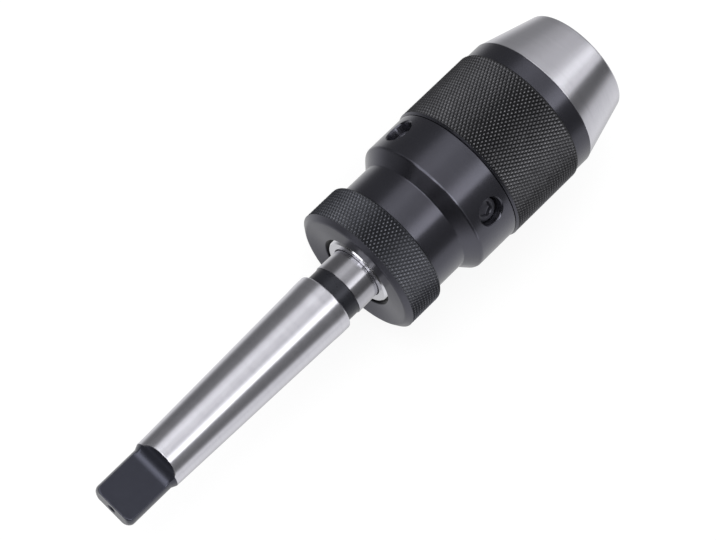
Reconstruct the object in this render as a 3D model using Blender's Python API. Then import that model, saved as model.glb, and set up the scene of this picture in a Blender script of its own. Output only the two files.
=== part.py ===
"""Keyless drill chuck on a tapered arbor, built as an assembly of separate pieces.

Sizes below are in millimetres and are turned into metres when a mesh is made. The axis of the
chuck is +X, from the tang towards the nose. X is counted from the gauge plane of the arbor's
taper, so the tang lies on the minus side. +Z is up and square to the flats of the tang.
At rest the jaws are fully open, drawn back inside the nose.
"""

import math

import bmesh
import bpy
import numpy as np
from mathutils import Matrix

MM = 0.001
GAP = 0.3  # play between pieces that touch in the real chuck
CUT_OVER = 2.0  # how far a cutter runs past the surface that it cuts

# Arbor: a no. 2 morse taper with a tang behind and a short taper in front
TAPER_SLOPE = 1 / 20.02 / 2  # growth of the radius for each millimetre of length
GAUGE_R = 8.89
TANG_END_X = -75.0
TANG_R = 6.75
TANG_HALF_THICK = 3.15
TANG_CORNER = 1.6
TANG_FLAT_LONG = 12.85
TANG_RUNOUT_R = 5.0
TANG_LONG = 15.0
TANG_SLOPE_LONG = 1.5  # the short cone between the tang and the taper
COLLAR_RISE = 0.11
COLLAR_R = GAUGE_R + COLLAR_RISE
SHOULDER_X = 4.9
SHOULDER_ROUND = 0.5
BAND_R = 7.76
BAND_LONG = 4.5
SHORT_TAPER_EDGE = 0.5
CENTRE_HOLE_R = 0.7
CENTRE_HOLE_DEEP = 2.2

# Rear body: knurled hand grip, neck, shoulder and housing in one
REAR_FACE_X = 16.0
REAR_CHAMFER_LONG = 1.25
REAR_CHAMFER_DROP = 1.7
GRIP_R = 20.0
GRIP_LONG = 12.3
GRIP_EDGE = 0.5
NECK_R = 18.0
NECK_END_X = 39.3
SHOULDER_LONG = 3.5
HOUSING_LONG = 16.7  # from the end of the neck to the seam, shoulder and all
HOUSING_END_X = NECK_END_X + HOUSING_LONG
REAR_OPENING_DEPTH = 2.3

# Hub: carries the arbor behind and the thread of the draw screw in front
HUB_SET_BACK = 0.4
HUB_REAR_X = REAR_FACE_X + HUB_SET_BACK
SHORT_TAPER_R_AT_HUB = 7.85
SHORT_TAPER_IN_HUB = 24.0
SHORT_TAPER_END_X = HUB_REAR_X + SHORT_TAPER_IN_HUB
HUB_NECK_WALL = 2.18
HUB_REAR_R = SHORT_TAPER_R_AT_HUB + GAP + HUB_NECK_WALL
TAPER_END_SPACE = 0.8
HUB_BODY_X = SHORT_TAPER_END_X + TAPER_END_SPACE
HUB_VENT_R = 3.5
HUB_EDGE = 0.4
FLANGE_THICK = 2.6
REAR_RING_GAP = 0.77  # the dark ring that shows round the hub
REAR_OPENING_R = HUB_REAR_R + REAR_RING_GAP

# Jaws, from the widest tool they take outwards
JAW_COUNT = 3
JAW_OPEN_R = 6.5
JAW_SHUT_R = 0.5
JAW_ANGLE = math.radians(18)
JAW_TRAVEL = (JAW_OPEN_R - JAW_SHUT_R) / math.tan(JAW_ANGLE)
JAW_POINT_FLAT = 0.25  # height taken off the edge where the slanted inner faces would meet
JAW_V_R = JAW_OPEN_R - JAW_POINT_FLAT
SHANK_HIGH = 3.1
JAW_TOP_R = JAW_OPEN_R + SHANK_HIGH
JAW_BLOCK_LONG = 13.0
JAW_WIDE = 7.5
SHANK_WIDE = 4.2
HOOK_WIDE = 7.0
HOOK_THICK = 3.0

# Radii of the shells, each from the one inside it
SCREW_RIM = 0.9
SCREW_R = JAW_TOP_R + SCREW_RIM
SCREW_HOLE_R = 2.6
SCREW_LONG = 25.0
SCREW_EDGE = 0.5
HUB_WALL = 3.7
HUB_BODY_R = SCREW_R + GAP + HUB_WALL
HOUSING_WALL = 6.7
HOUSING_R = HUB_BODY_R + GAP + HOUSING_WALL
HOUSING_EDGE = 0.4
BALL_R = 1.25
BALL_COUNT = 18
BALL_SIDE_SPACE = 1.05
SLEEVE_BORE_R = HUB_BODY_R + 2 * (BALL_R + BALL_SIDE_SPACE)
BALL_PITCH_R = (HUB_BODY_R + SLEEVE_BORE_R) / 2
FLANGE_SPACE = 0.5
FLANGE_R = SLEEVE_BORE_R - FLANGE_SPACE
FRONT_BORE_STEP = 0.8
FRONT_BORE_R = SLEEVE_BORE_R + FRONT_BORE_STEP
RING_WALL = 1.55
RING_R = FRONT_BORE_R + RING_WALL
KNURL_RISE = 0.55
SLEEVE_R = RING_R + KNURL_RISE

# Lock screws: set in the housing, pressing on the hub
LOCK_FROM_SEAM = 6.2
LOCK_X = HOUSING_END_X - LOCK_FROM_SEAM
LOCK_HOLE_R = 3.8
LOCK_RECESS = 2.6
LOCK_ANGLES = (42.6, -60.5, 171.0)  # degrees from +Z towards -Y
HEX_FLATS = 4.0
HEX_DEPTH = 2.4

# Along the axis: sleeve, thrust bearing, hub flange, guide
SEAM = 0.5  # shows between the housing and the sleeve
SLEEVE_X = HOUSING_END_X + SEAM
SLEEVE_EDGE = 0.6
SLEEVE_KNURL_LONG = 24.1
SLEEVE_LONG = 29.8
RING_END_X = SLEEVE_X + SLEEVE_LONG
LIP_THICK = 3.7
RACE_THICK = 1.4
RACE_FACE = 1.0  # from the balls' middle to the face of each race
CAGE_HALF = 0.7
BALL_X = SLEEVE_X + LIP_THICK + GAP + RACE_THICK + RACE_FACE
FLANGE_X = BALL_X + RACE_FACE + RACE_THICK + GAP
FLANGE_END_X = FLANGE_X + FLANGE_THICK
GUIDE_SPACE = 1.1
GUIDE_THICK = 6.9
GUIDE_X = FLANGE_END_X + GUIDE_SPACE
GUIDE_FACE_X = GUIDE_X + GUIDE_THICK
SCREW_SET_BACK = 0.2
SCREW_END_X = FLANGE_END_X - SCREW_SET_BACK
SCREW_X = SCREW_END_X - SCREW_LONG
SLOT_LIP = 3.0  # steel in front of each hook
HOOK_X = SCREW_END_X - HOOK_THICK - SLOT_LIP
END_SPACE = 0.7  # left between parts at the ends of the jaws' travel
JAW_BLOCK_X = GUIDE_FACE_X + END_SPACE
GUIDE_STEP_X = SCREW_END_X + JAW_TRAVEL + END_SPACE
GUIDE_TIP_RISE = 0.9
GUIDE_TIP_R = JAW_OPEN_R + GUIDE_TIP_RISE

# Nose: outer cone and the inner cone that the jaws run on
NOSE_LONG = 18.0
NOSE_END_X = RING_END_X + NOSE_LONG
NOSE_SLOPE = 0.272
NOSE_EDGE = 0.45
NOSE_REAR_X = GUIDE_FACE_X + GAP
SPIGOT_WALL = 1.4
MOUTH_CHAMFER = 0.5
GUIDE_SET_BACK = 4.3
GUIDE_END_X = NOSE_END_X - GUIDE_SET_BACK

LARGE_SIDE_COUNT = 60
SMALL_SIDE_COUNT = 48
HOLE_SIDE_COUNT = 24


def clear_scene():
    for obj in list(bpy.data.objects):
        bpy.data.objects.remove(obj, do_unlink=True)


def material(name, colour, roughness, metallic=1.0):
    made = bpy.data.materials.new(name)
    made.use_nodes = True
    shader = made.node_tree.nodes["Principled BSDF"]
    shader.inputs["Base Color"].default_value = (*colour, 1.0)
    shader.inputs["Roughness"].default_value = roughness
    shader.inputs["Metallic"].default_value = metallic
    return made


def add_object(name, points, faces, made_of=None):
    """A mesh from points in millimetres. Faces are turned outwards."""
    mesh = bpy.data.meshes.new(name)
    mesh.from_pydata([tuple(p) for p in np.asarray(points) * MM], [], faces)
    work = bmesh.new()
    work.from_mesh(mesh)
    bmesh.ops.recalc_face_normals(work, faces=work.faces)
    if work.calc_volume(signed=True) < 0:
        bmesh.ops.reverse_faces(work, faces=work.faces)
    work.to_mesh(mesh)
    work.free()
    obj = bpy.data.objects.new(name, mesh)
    bpy.context.scene.collection.objects.link(obj)
    if made_of is None:
        obj.hide_render = True
        obj.display_type = "WIRE"
    else:
        mesh.materials.append(made_of)
        smooth(mesh)
    return obj


def smooth(mesh):
    mesh.polygons.foreach_set("use_smooth", [True] * len(mesh.polygons))
    mesh.set_sharp_from_angle(angle=math.radians(32))


def turned(name, profile, sides, made_of=None, shift_z=0.0):
    """A turned piece: the outline (x, r) swept round the X axis.

    An outline whose ends lie on the axis makes a solid bar. Any other is closed into a ring.
    """
    solid = profile[0][1] == 0 and profile[-1][1] == 0
    middle = profile[1:-1] if solid else profile
    angles = np.arange(sides) * 2 * math.pi / sides
    points = [
        (x, r * math.sin(a), r * math.cos(a) + shift_z) for x, r in middle for a in angles
    ]
    count = len(middle)
    faces = []
    for i in range(count - 1 if solid else count):
        j = (i + 1) % count
        for k in range(sides):
            m = (k + 1) % sides
            faces.append((i * sides + k, i * sides + m, j * sides + m, j * sides + k))
    if solid:
        for row, (x, _) in ((0, profile[0]), (count - 1, profile[-1])):
            pole = len(points)
            points.append((x, 0.0, shift_z))
            for k in range(sides):
                faces.append((row * sides + k, row * sides + (k + 1) % sides, pole))
    return add_object(name, points, faces, made_of)


def prism(name, outline, axis, low, high, made_of=None):
    """A flat outline pushed along one axis. The outline's two numbers lie on the other two."""
    others = [i for i in range(3) if i != axis]
    points = []
    for depth in (low, high):
        for a, b in outline:
            p = [0.0, 0.0, 0.0]
            p[axis] = depth
            p[others[0]] = a
            p[others[1]] = b
            points.append(p)
    n = len(outline)
    faces = [tuple(range(n)), tuple(range(n, 2 * n))]
    faces += [(i, (i + 1) % n, n + (i + 1) % n, n + i) for i in range(n)]
    return add_object(name, points, faces, made_of)


def box(name, low, high, made_of=None):
    outline = [(low[0], low[1]), (high[0], low[1]), (high[0], high[1]), (low[0], high[1])]
    return prism(name, outline, 2, low[2], high[2], made_of)


def circle(radius, sides, centre=(0.0, 0.0), start=0.0):
    steps = np.arange(sides) * 2 * math.pi / sides + start
    return [(centre[0] + radius * math.cos(a), centre[1] + radius * math.sin(a)) for a in steps]


def arc(centre, radius, start, end, steps):
    """Points on an arc of the (x, r) plane; the angles are in degrees."""
    turns = np.radians(np.linspace(start, end, steps + 1))
    return [(centre[0] + radius * math.cos(a), centre[1] + radius * math.sin(a)) for a in turns]


def turn_about_axis(obj, degrees):
    obj.matrix_world = Matrix.Rotation(math.radians(degrees), 4, "X")


def boolean(obj, other, operation):
    step = obj.modifiers.new(operation.lower() + "_" + other.name, "BOOLEAN")
    step.object = other
    step.operation = operation
    step.solver = "EXACT"


def nose_bore_r(x):
    """The 18 degree cone inside the nose; at its rear end the spigot's wall is left."""
    rear_r = FRONT_BORE_R - GAP - SPIGOT_WALL
    return rear_r - (x - NOSE_REAR_X) * math.tan(JAW_ANGLE)


def nose_outer_r(x):
    return RING_R - (x - RING_END_X) * NOSE_SLOPE


def short_taper_r(x):
    return SHORT_TAPER_R_AT_HUB - (x - HUB_REAR_X) * TAPER_SLOPE


def arbor(made_of):
    """Tang, long taper, dark band and short taper, turned in one; the tang is milled flat."""
    small_x = TANG_END_X + TANG_LONG + TANG_SLOPE_LONG
    short_x = SHOULDER_X + BAND_LONG
    end = SHORT_TAPER_END_X
    profile = [
        (TANG_END_X + CENTRE_HOLE_DEEP + CENTRE_HOLE_R / 2, 0),
        (TANG_END_X + CENTRE_HOLE_DEEP, CENTRE_HOLE_R),
        (TANG_END_X + CENTRE_HOLE_R, CENTRE_HOLE_R),
        (TANG_END_X, 2 * CENTRE_HOLE_R),
    ]
    corner = (TANG_END_X + TANG_CORNER, TANG_R - TANG_CORNER)
    profile += arc(corner, TANG_CORNER, 180, 90, 4)
    profile += [
        (TANG_END_X + TANG_LONG, TANG_R),
        (small_x, GAUGE_R + small_x * TAPER_SLOPE),
        (-COLLAR_RISE, GAUGE_R - COLLAR_RISE * TAPER_SLOPE),
        (0.0, COLLAR_R),
    ]
    corner = (SHOULDER_X - SHOULDER_ROUND, COLLAR_R - SHOULDER_ROUND)
    profile += arc(corner, SHOULDER_ROUND, 90, 0, 3)
    profile += [
        (SHOULDER_X, BAND_R),
        (short_x, BAND_R),
        (short_x + SHORT_TAPER_EDGE / 2, short_taper_r(short_x)),
        (end - SHORT_TAPER_EDGE, short_taper_r(end)),
        (end, short_taper_r(end) - SHORT_TAPER_EDGE),
        (end, 0),
    ]
    obj = turned("arbor", profile, SMALL_SIDE_COUNT, made_of)
    top = max(COLLAR_R, TANG_HALF_THICK + TANG_RUNOUT_R) + CUT_OVER
    start = TANG_END_X - CUT_OVER
    outline = [(start, top), (start, TANG_HALF_THICK)]
    runout = (TANG_END_X + TANG_FLAT_LONG, TANG_HALF_THICK + TANG_RUNOUT_R)
    outline += arc(runout, TANG_RUNOUT_R, -90, -8, 6)
    outline += [(outline[-1][0] + GAP, top)]
    for side in (1, -1):
        shape = [(x, z * side) for x, z in outline]
        boolean(obj, prism(f"tang_cutter_{side}", shape, 1, -top, top), "DIFFERENCE")
    return obj


def drive_hub(made_of):
    bore_end = SHORT_TAPER_END_X + 2 * GAP
    thread_r = SCREW_R + GAP
    thread_x = SCREW_X - GAP
    profile = [
        (HUB_REAR_X + HUB_EDGE, short_taper_r(HUB_REAR_X) + GAP),
        (HUB_REAR_X, short_taper_r(HUB_REAR_X) + GAP + HUB_EDGE),
        (HUB_REAR_X, HUB_REAR_R - HUB_EDGE),
        (HUB_REAR_X + HUB_EDGE, HUB_REAR_R),
        (HUB_BODY_X, HUB_REAR_R),
        (HUB_BODY_X, HUB_BODY_R),
        (FLANGE_X, HUB_BODY_R),
        (FLANGE_X, FLANGE_R),
        (FLANGE_END_X, FLANGE_R),
        (FLANGE_END_X, thread_r + SCREW_EDGE),
        (FLANGE_END_X - SCREW_EDGE, thread_r),
        (thread_x, thread_r),
        (thread_x, HUB_VENT_R),
        (bore_end, HUB_VENT_R),
        (bore_end, short_taper_r(bore_end) + GAP),
    ]
    return turned("drive_hub", profile, SMALL_SIDE_COUNT, made_of)


def rear_body(made_of):
    """Grip, neck, shoulder and housing, with the three holes for the lock screws."""
    seat_r = HUB_REAR_R + GAP
    cavity_r = HUB_BODY_R + GAP
    grip_end = REAR_FACE_X + GRIP_LONG
    housing_x = NECK_END_X + SHOULDER_LONG
    profile = [
        (REAR_FACE_X, REAR_OPENING_R),
        (REAR_FACE_X, GRIP_R - REAR_CHAMFER_DROP),
        (REAR_FACE_X + REAR_CHAMFER_LONG, GRIP_R),
        (grip_end - GRIP_EDGE, GRIP_R),
        (grip_end, GRIP_R - GRIP_EDGE),
        (grip_end, NECK_R),
        (NECK_END_X - GRIP_EDGE, NECK_R),
        (NECK_END_X + HOUSING_EDGE / 2, NECK_R + HOUSING_EDGE / 2),
        (housing_x - HOUSING_EDGE, HOUSING_R - HOUSING_EDGE / 2),
        (housing_x, HOUSING_R),
        (HOUSING_END_X - HOUSING_EDGE, HOUSING_R),
        (HOUSING_END_X, HOUSING_R - HOUSING_EDGE),
        (HOUSING_END_X, cavity_r),
        (HUB_BODY_X - GAP, cavity_r),
        (HUB_BODY_X - GAP, seat_r),
        (REAR_FACE_X + REAR_OPENING_DEPTH, seat_r),
        (REAR_FACE_X + REAR_OPENING_DEPTH, REAR_OPENING_R),
    ]
    obj = turned("rear_body", profile, LARGE_SIDE_COUNT, made_of)
    for i, angle in enumerate(LOCK_ANGLES):
        shape = circle(LOCK_HOLE_R, HOLE_SIDE_COUNT, (LOCK_X, 0.0))
        low, high = cavity_r - CUT_OVER, HOUSING_R + CUT_OVER
        cutter = prism(f"lock_hole_cutter_{i + 1}", shape, 2, low, high)
        turn_about_axis(cutter, angle)
        boolean(obj, cutter, "DIFFERENCE")
    return obj


def lock_screw(index, angle, made_of):
    """A set screw with a hexagon socket, sunk below the face of the housing."""
    top = HOUSING_R - LOCK_RECESS
    shape = circle(LOCK_HOLE_R - GAP, HOLE_SIDE_COUNT, (LOCK_X, 0.0))
    obj = prism(f"lock_screw_{index}", shape, 2, HUB_BODY_R + GAP, top, made_of)
    turn_about_axis(obj, angle)
    hexagon = circle(HEX_FLATS / math.sqrt(3), 6, (LOCK_X, 0.0))
    cutter = prism(f"hex_cutter_{index}", hexagon, 2, top - HEX_DEPTH, top + CUT_OVER)
    turn_about_axis(cutter, angle)
    boolean(obj, cutter, "DIFFERENCE")
    return obj


def race(name, side, made_of):
    """A hardened washer with a groove for the balls; side is -1 behind them and 1 in front."""
    face = BALL_X + side * RACE_FACE
    back = face + side * RACE_THICK
    inner, outer = HUB_BODY_R + GAP, SLEEVE_BORE_R - GAP
    groove_r = BALL_R + GAP
    half = math.sqrt(groove_r**2 - RACE_FACE**2)
    swing = math.degrees(math.atan2(half, RACE_FACE))
    middle = 0 if side > 0 else 180
    profile = [(back, inner), (face, inner)]
    groove = arc((BALL_X, BALL_PITCH_R), groove_r, middle - swing, middle + swing, 4)
    profile += groove if side > 0 else groove[::-1]
    profile += [(face, outer), (back, outer)]
    return turned(name, profile, SMALL_SIDE_COUNT, made_of)


def ball_cage(made_of):
    inner, outer = HUB_BODY_R + GAP, SLEEVE_BORE_R - GAP
    low, high = BALL_X - CAGE_HALF, BALL_X + CAGE_HALF
    profile = [(low, inner), (low, outer), (high, outer), (high, inner)]
    obj = turned("ball_cage", profile, SMALL_SIDE_COUNT, made_of)
    points, faces = [], []
    n = HOLE_SIDE_COUNT // 2
    for i in range(BALL_COUNT):
        a = (i + 0.5) * 2 * math.pi / BALL_COUNT
        centre = (BALL_PITCH_R * math.sin(a), BALL_PITCH_R * math.cos(a))
        first = len(points)
        for x in (low - CUT_OVER, high + CUT_OVER):
            points += [(x, y, z) for y, z in circle(BALL_R + GAP, n, centre)]
        faces += [tuple(range(first, first + n)), tuple(range(first + n, first + 2 * n))]
        faces += [
            (first + k, first + (k + 1) % n, first + n + (k + 1) % n, first + n + k)
            for k in range(n)
        ]
    boolean(obj, add_object("pocket_cutters", points, faces), "DIFFERENCE")
    return obj


def ball(index, made_of):
    outline = arc((BALL_X, 0), BALL_R, 180, 0, 6)
    outline[0] = (BALL_X - BALL_R, 0)
    outline[-1] = (BALL_X + BALL_R, 0)
    obj = turned(f"ball_{index + 1:02d}", outline, 10, made_of)
    a = (index + 0.5) * 2 * math.pi / BALL_COUNT
    shift = Matrix.Translation((0, BALL_PITCH_R * math.sin(a) * MM, BALL_PITCH_R * math.cos(a) * MM))
    obj.data.transform(shift)
    return obj


def knurled_sleeve(made_of):
    """The shell that the hand turns, with the lip behind that bears on the balls."""
    lip = SLEEVE_X + LIP_THICK
    knurl_end = SLEEVE_X + SLEEVE_KNURL_LONG
    profile = [
        (SLEEVE_X, HUB_BODY_R + GAP),
        (SLEEVE_X, RING_R),
        (SLEEVE_X + SLEEVE_EDGE, SLEEVE_R),
        (knurl_end, SLEEVE_R),
        (knurl_end + SLEEVE_EDGE, RING_R),
        (RING_END_X, RING_R),
        (RING_END_X, FRONT_BORE_R),
        (GUIDE_X - GAP, FRONT_BORE_R),
        (GUIDE_X - GAP, SLEEVE_BORE_R),
        (lip, SLEEVE_BORE_R),
        (lip, HUB_BODY_R + GAP),
    ]
    return turned("knurled_sleeve", profile, LARGE_SIDE_COUNT, made_of)


def nose_cone(made_of):
    """Outer cone, the spigot that holds it in the sleeve, and the cone that wedges the jaws."""
    flange = RING_END_X + GAP
    edge = NOSE_END_X - NOSE_EDGE
    profile = [
        (NOSE_REAR_X, nose_bore_r(NOSE_REAR_X)),
        (NOSE_REAR_X, FRONT_BORE_R - GAP),
        (flange, FRONT_BORE_R - GAP),
        (flange, nose_outer_r(flange)),
        (edge, nose_outer_r(edge)),
        (NOSE_END_X - NOSE_EDGE / 4, nose_outer_r(edge) - NOSE_EDGE / 2),
        (NOSE_END_X, nose_outer_r(edge) - NOSE_EDGE),
        (NOSE_END_X, nose_bore_r(NOSE_END_X) + MOUTH_CHAMFER),
        (NOSE_END_X - MOUTH_CHAMFER, nose_bore_r(NOSE_END_X - MOUTH_CHAMFER)),
    ]
    return turned("nose_cone", profile, LARGE_SIDE_COUNT, made_of)


def jaw_guide(made_of):
    """A ring clamped in the sleeve, with fingers between the jaws that make them turn with it."""
    inner = SCREW_R + GAP
    play = GAP / math.cos(JAW_ANGLE)
    profile = [
        (GUIDE_X, inner),
        (GUIDE_X, FRONT_BORE_R - GAP),
        (GUIDE_FACE_X, FRONT_BORE_R - GAP),
        (GUIDE_FACE_X, nose_bore_r(NOSE_REAR_X) - play),
        (NOSE_REAR_X, nose_bore_r(NOSE_REAR_X) - play),
        (GUIDE_END_X, nose_bore_r(GUIDE_END_X) - play),
        (GUIDE_END_X, GUIDE_TIP_R),
        (GUIDE_STEP_X, GUIDE_TIP_R),
        (GUIDE_STEP_X, inner),
    ]
    obj = turned("jaw_guide", profile, LARGE_SIDE_COUNT, made_of)
    half = JAW_WIDE / 2 + GAP
    for i in range(JAW_COUNT):
        low = (GUIDE_FACE_X - GAP, -half, 0)
        high = (GUIDE_END_X + CUT_OVER, half, SLEEVE_R + CUT_OVER)
        cutter = box(f"guide_cutter_{i + 1}", low, high)
        turn_about_axis(cutter, i * 360 / JAW_COUNT)
        boolean(obj, cutter, "DIFFERENCE")
    return obj


def draw_screw(made_of):
    """The screw that pushes the jaws, with three T slots in its front end for their hooks."""
    profile = [
        (SCREW_X, SCREW_HOLE_R),
        (SCREW_X, SCREW_R - SCREW_EDGE),
        (SCREW_X + SCREW_EDGE, SCREW_R),
        (SCREW_END_X - SCREW_EDGE, SCREW_R),
        (SCREW_END_X, SCREW_R - SCREW_EDGE),
        (SCREW_END_X, SCREW_HOLE_R),
    ]
    obj = turned("draw_screw", profile, SMALL_SIDE_COUNT, made_of)
    neck = SHANK_WIDE / 2 + GAP
    wide = HOOK_WIDE / 2 + GAP
    for i in range(JAW_COUNT):
        angle = i * 360 / JAW_COUNT
        high = (SCREW_END_X + CUT_OVER, neck, SCREW_R + CUT_OVER)
        front = box(f"neck_cutter_{i + 1}", (HOOK_X, -neck, 0), high)
        low = (HOOK_X - GAP, -wide, 0)
        high = (HOOK_X + HOOK_THICK + GAP, wide, SCREW_R + CUT_OVER)
        slot = box(f"slot_cutter_{i + 1}", low, high)
        for cutter in (front, slot):
            turn_about_axis(cutter, angle)
            boolean(obj, cutter, "DIFFERENCE")
    return obj


def jaw(index, made_of):
    """A jaw: gripping block, shank, and the hook that sits in the draw screw's T slot.

    Its back is part of the cone that the nose shows it when the jaws are shut, so it clears the
    nose along the whole travel. Its two slanted inner faces keep it clear of the other jaws.
    """
    end = JAW_BLOCK_X + JAW_BLOCK_LONG
    low, high = (HOOK_X, -HOOK_WIDE / 2, JAW_OPEN_R), (HOOK_X + HOOK_THICK, HOOK_WIDE / 2, JAW_TOP_R)
    obj = box(f"jaw_{index + 1}", low, high, made_of)
    low = (HOOK_X + HOOK_THICK / 2, -SHANK_WIDE / 2, JAW_OPEN_R)
    shank = box(f"shank_{index + 1}", low, (JAW_BLOCK_X + CUT_OVER, SHANK_WIDE / 2, JAW_TOP_R))
    low = (JAW_BLOCK_X, -JAW_WIDE / 2, JAW_OPEN_R)
    block = box(f"block_{index + 1}", low, (end, JAW_WIDE / 2, nose_bore_r(JAW_BLOCK_X) + CUT_OVER))
    rise = JAW_TRAVEL * math.tan(JAW_ANGLE)
    play = GAP / math.cos(JAW_ANGLE)
    first, last = HOOK_X - CUT_OVER, end + CUT_OVER
    back = [(first, 0), (first, nose_bore_r(first + JAW_TRAVEL) - play)]
    back += [(last, nose_bore_r(last + JAW_TRAVEL) - play), (last, 0)]
    cone = turned(f"back_cone_{index + 1}", back, LARGE_SIDE_COUNT, None, rise)
    spread = SLEEVE_R * math.tan(math.radians(60))
    faces = []
    for side in (1, -1):
        outline = [(0, JAW_V_R), (side * spread, JAW_V_R + SLEEVE_R), (side * spread, 0), (0, 0)]
        faces.append(prism(f"v_cutter_{index + 1}_{side}", outline, 0, first, last))
    angle = index * 360 / JAW_COUNT
    for piece in (obj, shank, block, cone, *faces):
        turn_about_axis(piece, angle)
    boolean(obj, shank, "UNION")
    boolean(obj, block, "UNION")
    for cutter in faces:
        boolean(obj, cutter, "DIFFERENCE")
    boolean(obj, cone, "INTERSECT")
    return obj


def main():
    clear_scene()
    ground = material("ground_steel", (0.62, 0.61, 0.60), 0.22)
    arbor(ground)
    drive_hub(material("hub_steel", (0.55, 0.55, 0.55), 0.30))
    rear_body(material("black_body", (0.035, 0.036, 0.042), 0.32))
    black = material("black_screw", (0.03, 0.03, 0.034), 0.40)
    for i, angle in enumerate(LOCK_ANGLES):
        lock_screw(i + 1, angle, black)
    hard = material("race_steel", (0.52, 0.52, 0.53), 0.25)
    race("rear_race", -1, hard)
    race("front_race", 1, hard)
    ball_cage(material("cage_brass", (0.60, 0.45, 0.20), 0.35))
    bright = material("ball_steel", (0.70, 0.70, 0.71), 0.08)
    for i in range(BALL_COUNT):
        ball(i, bright)
    knurled_sleeve(material("black_knurl", (0.025, 0.025, 0.028), 0.42))
    nose_cone(material("nose_steel", (0.60, 0.59, 0.58), 0.24))
    jaw_guide(material("guide_steel", (0.08, 0.08, 0.085), 0.40))
    draw_screw(material("screw_steel", (0.30, 0.30, 0.31), 0.35))
    hardened = material("jaw_steel", (0.38, 0.37, 0.36), 0.30)
    for i in range(JAW_COUNT):
        jaw(i, hardened)


main()
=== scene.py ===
"""Dresses the drill chuck: its surfaces, knurls and threads, its finishes and its studio."""

import math

import bmesh
import bpy
import numpy as np
from mathutils import Matrix, Vector


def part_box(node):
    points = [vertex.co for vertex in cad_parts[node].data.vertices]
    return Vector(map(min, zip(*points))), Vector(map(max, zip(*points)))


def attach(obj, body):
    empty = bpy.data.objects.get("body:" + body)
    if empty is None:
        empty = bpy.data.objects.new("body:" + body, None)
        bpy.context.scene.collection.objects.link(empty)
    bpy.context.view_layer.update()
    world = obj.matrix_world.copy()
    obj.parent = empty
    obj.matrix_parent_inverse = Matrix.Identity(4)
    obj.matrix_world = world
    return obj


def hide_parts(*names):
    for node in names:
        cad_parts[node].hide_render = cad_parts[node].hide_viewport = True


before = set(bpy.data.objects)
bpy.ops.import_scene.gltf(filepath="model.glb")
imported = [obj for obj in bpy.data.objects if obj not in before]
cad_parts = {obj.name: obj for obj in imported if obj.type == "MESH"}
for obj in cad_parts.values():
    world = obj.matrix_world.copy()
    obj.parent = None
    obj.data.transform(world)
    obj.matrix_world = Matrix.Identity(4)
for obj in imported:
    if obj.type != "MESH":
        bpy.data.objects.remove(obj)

bl_info = {
    "name": "Keyless Drill Chuck",
    "version": (1, 0, 0),
    "blender": (4, 5, 0),
    "location": "3D View > Sidebar > Chuck",
    "description": "Builds the dressed pieces of a keyless drill chuck on its tapered arbor",
    "category": "Object",
}

MM = 0.001  # every length below is in millimetres unless its unit is named
PLAY = 0.3  # between pieces that pass each other
ACROSS_RINGS = 0.92  # how far the blur of a ground face's reflection is drawn out


def limits(node):
    """Lowest and highest corner of a CAD node, in millimetres."""
    low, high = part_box(node)
    return np.array(low) / MM, np.array(high) / MM


ARBOR_LOW, ARBOR_HIGH = limits("arbor")
HUB_LOW, HUB_HIGH = limits("drive_hub")
BODY_LOW, BODY_HIGH = limits("rear_body")
SLEEVE_LOW, SLEEVE_HIGH = limits("knurled_sleeve")
NOSE_LOW, NOSE_HIGH = limits("nose_cone")
SCREW_LOW, SCREW_HIGH = limits("draw_screw")

# Arbor
TANG_END = ARBOR_LOW[0]
TANG_R = 6.75
TANG_HALF = 3.15  # half its thickness
TANG_CORNER = 1.6
FLAT_END = TANG_END + 12.85
RUNOUT_R = 5.0
CONE_START, CONE_END = TANG_END + 15.0, TANG_END + 16.5
GAUGE_R = 8.89  # at x = 0, the gauge plane
SLOPE = 1 / 20.02 / 2
COLLAR_R = 9.0
SHOULDER = 4.9
BAND_R = 7.76
BAND_END = 9.4
HUB_TAPER_R = 7.85
TAPER_END = ARBOR_HIGH[0]

# Rear body and hub
REAR = BODY_LOW[0]
HUB_REAR = HUB_LOW[0]
HUB_REAR_R = 10.33
HUB_FACE = HUB_REAR + 0.2
HUB_MOUTH_R = 8.15
OPENING_R = 11.3
REAR_DISH = 0.55
OPENING_DEEP = 2.3
GRIP_R = 20.0
GRIP_START, GRIP_END = REAR + 1.25, REAR + 12.3
NECK_R = 18.0
NECK_END = 39.3
HOUSING_START, HOUSING_END = NECK_END + 3.5, BODY_HIGH[0]
HOUSING_R = 21.5
HUB_R = 14.5
HUB_BODY = TAPER_END + 0.8
FLANGE_R = HUB_HIGH[2]
FLANGE_END = HUB_HIGH[0]
FLANGE_START = FLANGE_END - 2.6
LOCK_X = HOUSING_END - 6.2
LOCK_HOLE_R = 3.8
LOCK_TOP = HOUSING_R - 2.6
LOCK_ANGLES = (42.6, -60.5, 171.0)  # degrees from +Z towards -Y
HEX_FLATS = 4.0
HEX_DEEP = 1.4

# Sleeve, nose and draw screw
SLEEVE_START, RING_END = SLEEVE_LOW[0], SLEEVE_HIGH[0]
SLEEVE_R = 22.0
RING_R = 21.45
SLEEVE_EDGE = 0.6
KNURL_END = SLEEVE_START + 24.1
BALL_R, BALL_COUNT = 1.25, 18
BORE_R, FRONT_BORE_R = 19.1, 19.9
LIP = SLEEVE_START + 3.7
GUIDE_START = FLANGE_END + 1.1
NOSE_REAR, NOSE_END = NOSE_LOW[0], NOSE_HIGH[0]
NOSE_START = NOSE_END - 17.7
NOSE_SLOPE = 0.272
NOSE_BORE_R = 18.2  # at its rear end
JAW_TAN = math.tan(math.radians(18))
THREAD_R = 10.5
THREAD_STARTS = 2
SLOT_NECK, SLOT_WIDE = 2.4, 3.8
SLOT_REAR, SLOT_FRONT = SCREW_HIGH[0] - 6.3, SCREW_HIGH[0] - 2.7
SCREW_HOLE_R = 2.6


def taper_r(x):
    return HUB_TAPER_R - (x - HUB_REAR) * SLOPE


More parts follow.
